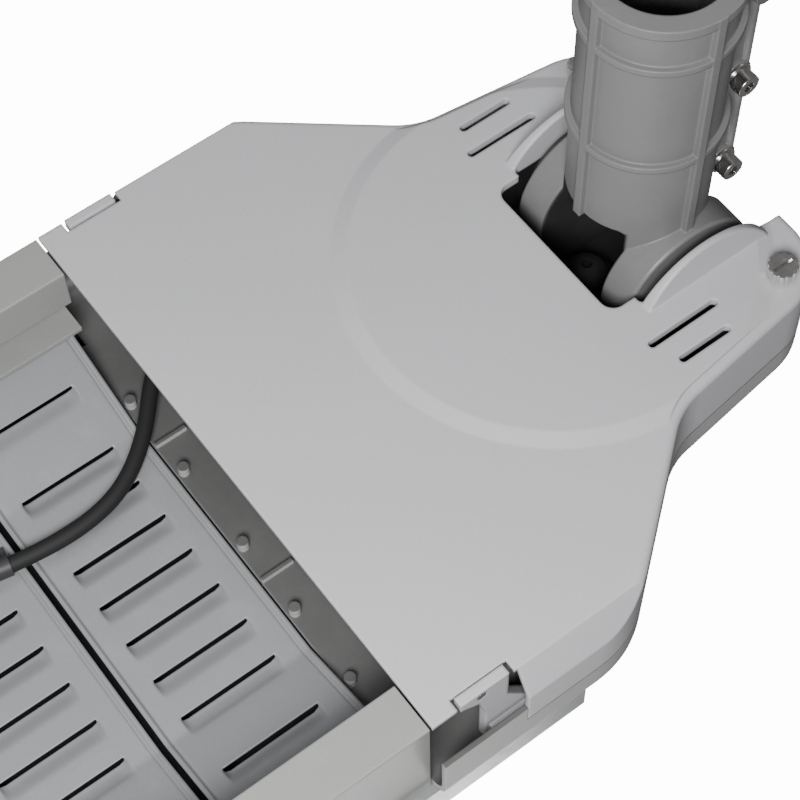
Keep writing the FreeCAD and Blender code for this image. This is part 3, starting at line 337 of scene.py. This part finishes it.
def silicon():
    """Dark blue cells with hair-fine fingers across and five silver busbars along each cell."""
    f = Finish("Silicon cells", Metallic=0.0, Coat_Weight=0.3)
    x, y, _ = f.axes()
    across = (y + 2 * CELL_WIDTH) % CELL_WIDTH
    bars = (abs(((across / CELL_WIDTH) * 5.0) % 1.0 - 0.5) < 0.045)
    fingers = (abs((x / FINGER_PITCH) % 1.0 - 0.5) < 0.12)
    grain = f.noise(70.0, 5.0, 0.7)
    tone = f.mix(grain, (0.006, 0.012, 0.045), (0.014, 0.026, 0.085))
    tone = f.mix(fingers * 0.45, tone, (0.22, 0.25, 0.3))
    tone = f.mix(bars * 0.9, tone, (0.62, 0.63, 0.65))
    return f.feed(Base_Color=tone, Roughness=0.22 + 0.1 * grain)


def board(name, colour):
    """Solder mask over copper tracks that show through as slightly lighter lines."""
    f = Finish(name, Metallic=0.0)
    x, _, _ = f.axes()
    tracks = (abs((x * 180.0 + 0.6 * f.noise(60.0)) % 1.0 - 0.5) < 0.16)
    pads = f.noise(240.0, 1.0).smooth(0.66, 0.7)
    tone = f.mix(tracks * 0.5, colour, shade(colour, 1.5))
    tone = f.mix(pads, tone, (0.72, 0.70, 0.62))
    return f.feed(Base_Color=tone, Roughness=0.3 + 0.1 * pads)


def cell_wrap():
    """Blue heat-shrink wrap with shrink wrinkles."""
    f = Finish("Cell sleeve", Metallic=0.0)
    wrinkle = f.noise(1.0, 3.0, 0.6, f.stretched((60.0, 300.0, 300.0)))
    tone = f.mix(wrinkle, (0.03, 0.16, 0.36), (0.06, 0.26, 0.52))
    return f.feed(Base_Color=tone, Roughness=0.25 + 0.15 * wrinkle, Normal=f.bump(wrinkle, 0.3, 0.0002))


def finishes():
    """One builder for each of the record's material slots."""
    look = bpy.context.scene.lamp_coat
    return {
        "cover_grey": lambda: powder_coat("Cover powder coat", tuple(look.cover), 0.5, 0.0022),
        # cast_grey: painted shade, near-black blotches, on faces that look down and on the walls beside the
        # knuckle.
        "cast_grey": lambda: powder_coat("Casting powder coat", tuple(look.casting), 0.5, 0.0012, 0.06,
                                         inside_housing, shade(look.casting, 0.15)),
        # sleeve_grey: painted shade, near black, on the ears' inner faces and the bore behind them.
        "sleeve_grey": lambda: powder_coat("Sleeve satin coat", tuple(look.sleeve), 0.42, 0.0014, 0.04,
                                           between_ears, (0.022, 0.022, 0.023)),
        "rail_grey": lambda: powder_coat("Rail coat", tuple(look.rail), 0.42, 0.0008, 0.05),
        "sheet_grey": lambda: powder_coat("Sheet coat", tuple(look.sheet), 0.42, 0.0005, 0.08),
        "stainless": lambda: metal("Stainless steel", (0.75, 0.74, 0.72), 0.2, (400.0, 60.0, 400.0)),
        "zinc_steel": lambda: metal("Zinc plate", (0.62, 0.63, 0.65), 0.35, (90.0, 90.0, 90.0)),
        "frame_aluminium": lambda: metal("Anodised aluminium", (0.62, 0.63, 0.64), 0.38, (6.0, 900.0, 900.0)),
        "heat_aluminium": lambda: metal("Bare casting", (0.56, 0.57, 0.58), 0.5, (220.0, 220.0, 220.0)),
        "black_rubber": lambda: plastic("Black rubber", (0.007, 0.007, 0.0075), 0.7, 0.25),
        "black_plastic": lambda: plastic("Black plastic", (0.022, 0.022, 0.024), 0.5, 0.4),
        "friction_black": lambda: plastic("Friction lining", (0.04, 0.038, 0.035), 0.85, 0.6, scale=700.0),
        "solar_glass": lambda: clear("Solar glass", (0.8, 0.88, 0.95), 0.06, 0.22),
        "silicon_cells": silicon,
        "back_sheet": lambda: plastic("Backsheet", (0.018, 0.018, 0.02), 0.55),
        "grey_sealant": lambda: plastic("Sealant", (0.3, 0.3, 0.3), 0.7, 0.6),
        "cell_sleeve": cell_wrap,
        "circuit_green": lambda: board("Circuit board", (0.015, 0.13, 0.05)),
        "white_board": lambda: board("White board", (0.72, 0.73, 0.72)),
        "led_phosphor": lambda: plastic("Phosphor", (0.85, 0.68, 0.16), 0.4),
        "clear_lens": lambda: clear("Clear lens", (0.9, 0.94, 0.97), 0.1, 0.32),
        "milky_dome": lambda: clear("Milky dome", (0.82, 0.83, 0.81), 0.4, 0.92),
        "green_lens": lambda: clear("Green lens", (0.08, 0.62, 0.2), 0.2, 0.85),
    }


COATS = {}


def coat(slot):
    """The material of a slot, made once."""
    if slot not in COATS:
        COATS[slot] = finishes()[slot]()
    return COATS[slot]


# ---- Meshes -------------------------------------------------------------------------------------
def grid_faces(rows, columns, keep=None, close=False):
    """Quads of a rows by columns grid of points, numbered row by row.

    keep drops faces, and close joins the columns' ends.
    """
    last = columns if close else columns - 1
    i, j = np.meshgrid(np.arange(rows - 1), np.arange(last), indexing="ij")
    following = (j + 1) % columns
    quads = np.stack([i * columns + j, (i + 1) * columns + j, (i + 1) * columns + following,
                      i * columns + following], axis=-1)
    return quads[keep] if keep is not None else quads.reshape(-1, 4)


def make_piece(name, points, faces, slot, body, *replaced):
    """Puts points in metres and faces in a mesh object that rides on a body and stands for CAD nodes."""
    mesh = bpy.data.meshes.new(name)
    mesh.from_pydata(points.reshape(-1, 3), [], faces)
    mesh.polygons.foreach_set("use_smooth", np.ones(len(mesh.polygons), dtype=bool))
    mesh.materials.append(coat(slot))
    piece = bpy.data.objects.new(name, mesh)
    bpy.context.scene.collection.objects.link(piece)
    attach(piece, body)
    if replaced:
        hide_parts(*replaced)
    return piece


def add_wall(piece, thickness):
    """Gives a one-sided surface its wall, inwards from its faces."""
    wall = piece.modifiers.new("Wall", "SOLIDIFY")
    wall.thickness = thickness
    wall.offset = -1.0


def eased(t):
    """Smoothstep of t held between 0 and 1."""
    t = np.clip(t, 0.0, 1.0)
    return t * t * (3 - 2 * t)


# ---- Louvred sheets -----------------------------------------------------------------------------
SHEET_FLAT_HALF = 0.078       # half width of the flat middle
SHEET_KNEE_HALF = 0.140       # where the slope meets the flange
SHEET_EDGE_HALF = 0.154       # outer edge of the flange
SHEET_HIGH = FACE_Z + 0.070
SHEET_LOW = FACE_Z + 0.049
SHEET_FALL = SHEET_HIGH - SHEET_LOW
SLOPE = math.atan2(SHEET_FALL, SHEET_KNEE_HALF - SHEET_FLAT_HALF)
SLOPE_RUN = math.hypot(SHEET_FALL, SHEET_KNEE_HALF - SHEET_FLAT_HALF)
FOLD = 0.006                  # length that a fold is eased over
FIRST_SHEET_X = 0.271
SHEET_PITCH = 0.0912
SHEETS = {f"louvre_sheet_{place}": FIRST_SHEET_X + k * SHEET_PITCH
          for k, place in enumerate(["rear", "middle", "front"])}
HEM_BEAD = 0.0011
HEM_GROOVE = 0.0006
LOUVRE_ROW = 0.045            # middle of the louvres, from the sheet's rear edge
LOUVRE_FOOT = 0.0078          # a scoop starts to rise this far before its louvre's place
LOUVRE_RISE = 0.0118          # and rises over this length
LOUVRE_LIP = 0.0048           # its open edge, past the place
SLIT = (0.0042, 0.0054)       # the open slit, past the place
SLOPE_LOUVRE = 0.56           # place of the louvre on the slope, as a part of the slope's run


def sheet_section(s):
    """Folded section by arc length s from its middle: flat, then a straight slope, then a flat flange.

    The turn is the slope times an eased step at the first fold, less the same step at the second, and
    y and z are the running sums of the turn's cosine and sine.
    """
    a = np.abs(s)
    past_first = (a - SHEET_FLAT_HALF) / FOLD + 0.5
    turn = SLOPE * (eased(past_first) - eased(past_first - SLOPE_RUN / FOLD))
    fine = np.linspace(0.0, a.max(), 4000)
    bend = np.interp(fine, np.sort(a), turn[np.argsort(a)])
    step = fine[1] - fine[0]
    y = np.concatenate([[0.0], np.cumsum(np.cos(bend[:-1]) * step)])
    z = np.concatenate([[0.0], np.cumsum(-np.sin(bend[:-1]) * step)])
    side = np.sign(s)
    return side * np.interp(a, fine, y), SHEET_HIGH + np.interp(a, fine, z), side * turn


def hem_profile(u, width):
    """Rolled hem: a bead, the root of a half sine across the width, then a narrow bell-shaped groove."""
    bead = HEM_BEAD * np.sqrt(np.sin(np.pi * np.clip(u / width, 0, 1)).clip(0, 1))
    groove = HEM_GROOVE * np.exp(-((u - 1.35 * width) / HEM_GROOVE) ** 2)
    return bead - groove


def louvre_places(pitch):
    """Arc lengths of the louvres: seven across the flat middle and one on each slope."""
    on_slope = SHEET_FLAT_HALF + SLOPE_RUN * SLOPE_LOUVRE
    return np.array([k * pitch for k in range(-3, 4)] + [on_slope, -on_slope])


def sheet_stations(places):
    """Arc lengths of the mesh's columns: close together at each louvre, and even steps between them."""
    local = np.array([-7.6, -6.8, -6.0, -5.2, -4.3, -3.2, -2.0, -0.8,
                      0.4, 1.6, 2.8, 3.6, 4.2, 5.4, 6.0, 6.8, 7.8]) * MM
    edge = SHEET_FLAT_HALF + SLOPE_RUN + SHEET_EDGE_HALF - SHEET_KNEE_HALF
    close = (places[:, None] + local).ravel()
    s = np.unique(np.round(np.concatenate([close, np.linspace(-edge, edge, 90)]), 7))
    near = np.abs(s[:, None] - places[None, :]).min(axis=1)
    return s[np.isin(s, np.round(close, 7)) | (near > 0.0085)]


def sheet_rows(length, first, half):
    """Distances of the mesh's rows from the rear edge: close at the hems and at the louvres' ends.

    first is the middle of the louvres and half is half their length.
    """
    ends = np.array([0, 0.12, 0.4, 0.9, 1.5, 2.1, 2.6, 2.88,
                     3.0, 3.3, 3.6, 3.9, 4.2, 4.5, 4.9, 5.4, 6.2]) * MM
    inner = np.array([-3.4, -2.6, -1.8, -1.1, -0.5, 0.0, 0.6, 1.2]) * MM
    along = np.linspace(-half + 0.004, half - 0.004, 14) + first
    u = np.concatenate([ends, first - half + inner, along, first + half - inner[::-1], length - ends[::-1]])
    return np.unique(np.round(u, 7))


def louvre_sheet(name, start):
    """Pressed sheet: the section carried along x, less a rolled hem at each end, plus louvre scoops.

    Each scoop rises to its open edge as an eased ramp and drops back past the slit.
    """
    look = bpy.context.scene.lamp_sheets
    half = look.louvre_length / 2
    places = louvre_places(look.louvre_pitch)
    s = sheet_stations(places)
    u = sheet_rows(look.length, LOUVRE_ROW, half)
    y, z, turn = sheet_section(s)
    reach = eased((half + 0.0006 - np.abs(u - LOUVRE_ROW)) / 0.0032)
    past = s[:, None] - places[None, :]
    on_scoop = (past > -LOUVRE_FOOT) & (past < LOUVRE_LIP)
    scoop = np.where(on_scoop, eased((past + LOUVRE_FOOT) / LOUVRE_RISE), 0.0)
    lift = reach[:, None] * (look.scoop * scoop.max(axis=1))[None, :]
    lift = lift - (hem_profile(u, look.hem) + hem_profile(look.length - u, look.hem))[:, None]
    x = np.broadcast_to((start + u)[:, None], lift.shape)
    points = np.stack([x, y + np.sin(turn) * lift, z + np.cos(turn) * lift], axis=-1)
    between_rows = np.abs((u[1:] + u[:-1]) / 2 - LOUVRE_ROW) < half - 0.0004
    between = ((s[1:] + s[:-1]) / 2)[:, None] - places[None, :]
    slit = ((between > SLIT[0]) & (between < SLIT[1])).any(axis=1)
    keep = ~(between_rows[:, None] & slit[None, :])
    faces = grid_faces(len(u), len(s), keep)[:, ::-1].tolist()
    piece = make_piece(name + "_pressed", points, faces, "sheet_grey", "lamp", name)
    add_wall(piece, look.thickness)
    return piece


# ---- Lamp lead ----------------------------------------------------------------------------------
# Control points: x and y in metres, and depth from the cover's outer face in millimetres.
LEAD_ROUTE = [(0.191, 0.118, 58), (0.222, 0.118, 58), (0.248, 0.100, 60), (0.272, 0.071, 62.2),
              (0.298, 0.052, 63), (0.326, 0.046, 63.4), (0.358, 0.048, 63.4), (0.396, 0.056, 63.4),
              (0.428, 0.0615, 63.4), (0.462, 0.063, 63.4), (0.492, 0.057, 63.4), (0.512, 0.0495, 61),
              (0.531, 0.044, 58), (0.557, 0.044, 58)]


def lamp_lead():
    """Round lead on one smooth spline through the route's control points."""
    look = bpy.context.scene.lamp_lead
    curve = bpy.data.curves.new("lamp_lead_line", "CURVE")
    curve.dimensions = "3D"
    spline = curve.splines.new("NURBS")
    spline.points.add(len(LEAD_ROUTE) - 1)
    for point, (x, y, depth) in zip(spline.points, LEAD_ROUTE):
        point.co = (x, y, FACE_Z + depth * MM, 1.0)
    spline.order_u = 3
    spline.use_endpoint_u = True
    spline.resolution_u = 12
    curve.bevel_depth = look.radius
    curve.bevel_resolution = 6
    curve.use_fill_caps = True
    curve.materials.append(coat("black_rubber"))
    piece = bpy.data.objects.new("lamp_lead_smooth", curve)
    bpy.context.scene.collection.objects.link(piece)
    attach(piece, "lamp")
    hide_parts("lamp_lead")
    return piece


# ---- Motion sensor lens -------------------------------------------------------------------------
LENS_CENTRE = (0.584, 0.0, FACE_Z - 0.003)
LENS_RADIUS = 0.0136
LENS_SWELL = 0.00035          # rise of each facet over the sphere
LENS_SKIRT = 0.011            # how far the straight skirt runs up into the base
LENS_WALL = 0.0012
LENS_POLE = 0.012             # angle from the pole at which the first ring starts
LENS_SPOKES = 20
LENS_COLUMNS = 120


def sensor_lens():
    """Dome of small lens facets: a half sphere that swells between its rings and spokes.

    r = radius + swell * sqrt(|sin(rings * 2 tilt)|) * sqrt(|sin(spokes / 2 * turn)|) * sin(tilt), and the
    edge is carried straight up into the base.
    """
    look = bpy.context.scene.lamp_sensor
    rows = 8 * look.rings + 1
    tilt = np.linspace(LENS_POLE, np.pi / 2, rows)[:, None]
    turn = np.linspace(0, 2 * np.pi, LENS_COLUMNS, endpoint=False)[None, :]
    ring = np.abs(np.sin(2 * look.rings * tilt))
    spoke = np.abs(np.sin(LENS_SPOKES / 2 * turn))
    radius = LENS_RADIUS + LENS_SWELL * np.sqrt(ring) * np.sqrt(spoke) * np.sin(tilt)
    x = radius * np.sin(tilt) * np.cos(turn)
    y = radius * np.sin(tilt) * np.sin(turn)
    z = -radius * np.cos(tilt)
    edge = [LENS_RADIUS * np.cos(turn[0]), LENS_RADIUS * np.sin(turn[0]), np.full(LENS_COLUMNS, LENS_SKIRT)]
    dome = np.stack([x, y, z], axis=-1)
    points = np.concatenate([dome, np.stack(edge, axis=-1)[None]]) + np.array(LENS_CENTRE)
    faces = grid_faces(rows + 1, LENS_COLUMNS, close=True)[:, ::-1].tolist()
    faces.append(list(range(LENS_COLUMNS)))
    piece = make_piece("sensor_lens_faceted", points, faces, "milky_dome", "lamp", "sensor_dome")
    add_wall(piece, LENS_WALL)
    return piece


# ---- Floor, lights and camera -------------------------------------------------------------------
FLOOR_HALF = 12.0
# name, place, point aimed at, side of the square, power in watts
LIGHTS = [
    ("key_below_front", (0.66, -0.56, -0.62), (0.2, -0.08, 0.187), 0.4, 29),
    ("fill_below", (0.1, 0.9, -1.9), (0.1, 0.0, 0.187), 1.4, 12),
    ("top_light", (0.3, -0.2, 2.4), (0.3, 0.0, 0.2), 1.2, 34),
]
CAMERA_PLACE = (0.4845, -0.4711, -0.763)
CAMERA_AIM = (0.1714, -0.0226, 0.187)
CAMERA_UP = (-0.6895, 0.9251, 0.0)
CAMERA_LENS = 98.31


def lay_floor(context, height):
    """Plain pale floor under the lamp."""
    corners = [(-FLOOR_HALF, -FLOOR_HALF), (FLOOR_HALF, -FLOOR_HALF), (FLOOR_HALF, FLOOR_HALF),
               (-FLOOR_HALF, FLOOR_HALF)]
    mesh = bpy.data.meshes.new("floor")
    mesh.from_pydata([(x, y, height) for x, y in corners], [], [(0, 1, 2, 3)])
    floor = bpy.data.objects.new("floor", mesh)
    context.scene.collection.objects.link(floor)
    f = Finish("Pale floor", Roughness=0.8)
    mesh.materials.append(f.feed(Base_Color=f.mix(f.noise(2.0, 3.0), (0.72, 0.72, 0.71), (0.76, 0.76, 0.75))))


def studio_light(context, look):
    """Even white surround, shown brighter to the lens than it lights, and three soft area lights."""
    world = bpy.data.worlds.new("Studio")
    context.scene.world = world
    world.use_nodes = True
    tree = world.node_tree
    surround = tree.nodes["Background"]
    surround.inputs["Color"].default_value = (1, 1, 1, 1)
    path = Sock(tree, tree.nodes.new("ShaderNodeLightPath").outputs["Is Camera Ray"])
    plug(tree, surround.inputs["Strength"], path * (look.backdrop - look.ambient) + look.ambient)
    for name, place, aim, size, power in LIGHTS:
        data = bpy.data.lights.new(name, "AREA")
        data.shape = "SQUARE"
        data.size = size
        data.energy = power
        lamp = bpy.data.objects.new(name, data)
        context.scene.collection.objects.link(lamp)
        lamp.location = place
        lamp.rotation_euler = (Vector(aim) - Vector(place)).to_track_quat("-Z", "Y").to_euler()


def stage_camera(context):
    """Unshifted camera below the lamp's tail, with its roll given by CAMERA_UP."""
    data = bpy.data.cameras.new("view_camera")
    camera = bpy.data.objects.new("view_camera", data)
    context.scene.collection.objects.link(camera)
    context.scene.camera = camera
    data.lens = CAMERA_LENS
    data.sensor_width = 36
    data.clip_start = 0.02
    place = Vector(CAMERA_PLACE)
    ahead = (Vector(CAMERA_AIM) - place).normalized()
    hint = Vector(CAMERA_UP)
    up = (hint - ahead * hint.dot(ahead)).normalized()
    camera.matrix_world = Matrix((ahead.cross(up), up, -ahead)).transposed().to_4x4()
    camera.location = place


# ---- Operators ----------------------------------------------------------------------------------
class LAMP_OT_coat_frame(bpy.types.Operator):
    """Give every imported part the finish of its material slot"""
    bl_idname = "lamp.coat_frame"
    bl_label = "Coat packed parts"

    def execute(self, context):
        for name, slot in SLOTS.items():
            node = NODES[name]
            node.data.materials.clear()
            node.data.materials.append(coat(slot))
        return {"FINISHED"}


class LAMP_OT_louvre_sheets(bpy.types.Operator):
    """Press the three louvred sheets of the ventilated bay"""
    bl_idname = "lamp.louvre_sheets"
    bl_label = "Louvred sheets"

    def execute(self, context):
        for name, start in SHEETS.items():
            louvre_sheet(name, start)
        return {"FINISHED"}


class LAMP_OT_lead(bpy.types.Operator):
    """Lay the lead from the controller to the light head"""
    bl_idname = "lamp.lead"
    bl_label = "Lamp lead"

    def execute(self, context):
        lamp_lead()
        return {"FINISHED"}


class LAMP_OT_sensor_lens(bpy.types.Operator):
    """Mould the motion sensor's faceted lens"""
    bl_idname = "lamp.sensor_lens"
    bl_label = "Sensor lens"

    def execute(self, context):
        sensor_lens()
        return {"FINISHED"}


class LAMP_OT_stage(bpy.types.Operator):
    """Set the floor, the soft studio light and the camera"""
    bl_idname = "lamp.stage"
    bl_label = "Stage"

    def execute(self, context):
        look = context.scene.lamp_stage
        lay_floor(context, look.floor_z)
        studio_light(context, look)
        stage_camera(context)
        return {"FINISHED"}


OPERATORS = [LAMP_OT_coat_frame, LAMP_OT_lead, LAMP_OT_louvre_sheets, LAMP_OT_sensor_lens, LAMP_OT_stage]


class LAMP_PT_build(bpy.types.Panel):
    """The lamp's pieces and settings"""
    bl_idname = "LAMP_PT_build"
    bl_label = "Solar street lamp"
    bl_space_type = "VIEW_3D"
    bl_region_type = "UI"
    bl_category = "Street lamp"

    def draw(self, context):
        for name in SETTINGS:
            box = self.layout.box()
            settings = getattr(context.scene, name)
            for key in settings.__annotations__:
                box.prop(settings, key)
        for operator in OPERATORS:
            self.layout.operator(operator.bl_idname)


SETTINGS = {"lamp_coat": CoatSettings, "lamp_sheets": SheetSettings, "lamp_lead": LeadSettings,
            "lamp_sensor": SensorSettings, "lamp_stage": StageSettings}
CLASSES = [*SETTINGS.values(), *OPERATORS, LAMP_PT_build]


def register():
    for cls in CLASSES:
        bpy.utils.register_class(cls)
    for name, group in SETTINGS.items():
        setattr(bpy.types.Scene, name, PointerProperty(type=group))


def unregister():
    for name in SETTINGS:
        delattr(bpy.types.Scene, name)
    for cls in reversed(CLASSES):
        bpy.utils.unregister_class(cls)


def main():
    register()
    for operator in OPERATORS:
        family, name = operator.bl_idname.split(".")
        getattr(getattr(bpy.ops, family), name)()


if __name__ == "__main__":
    main()
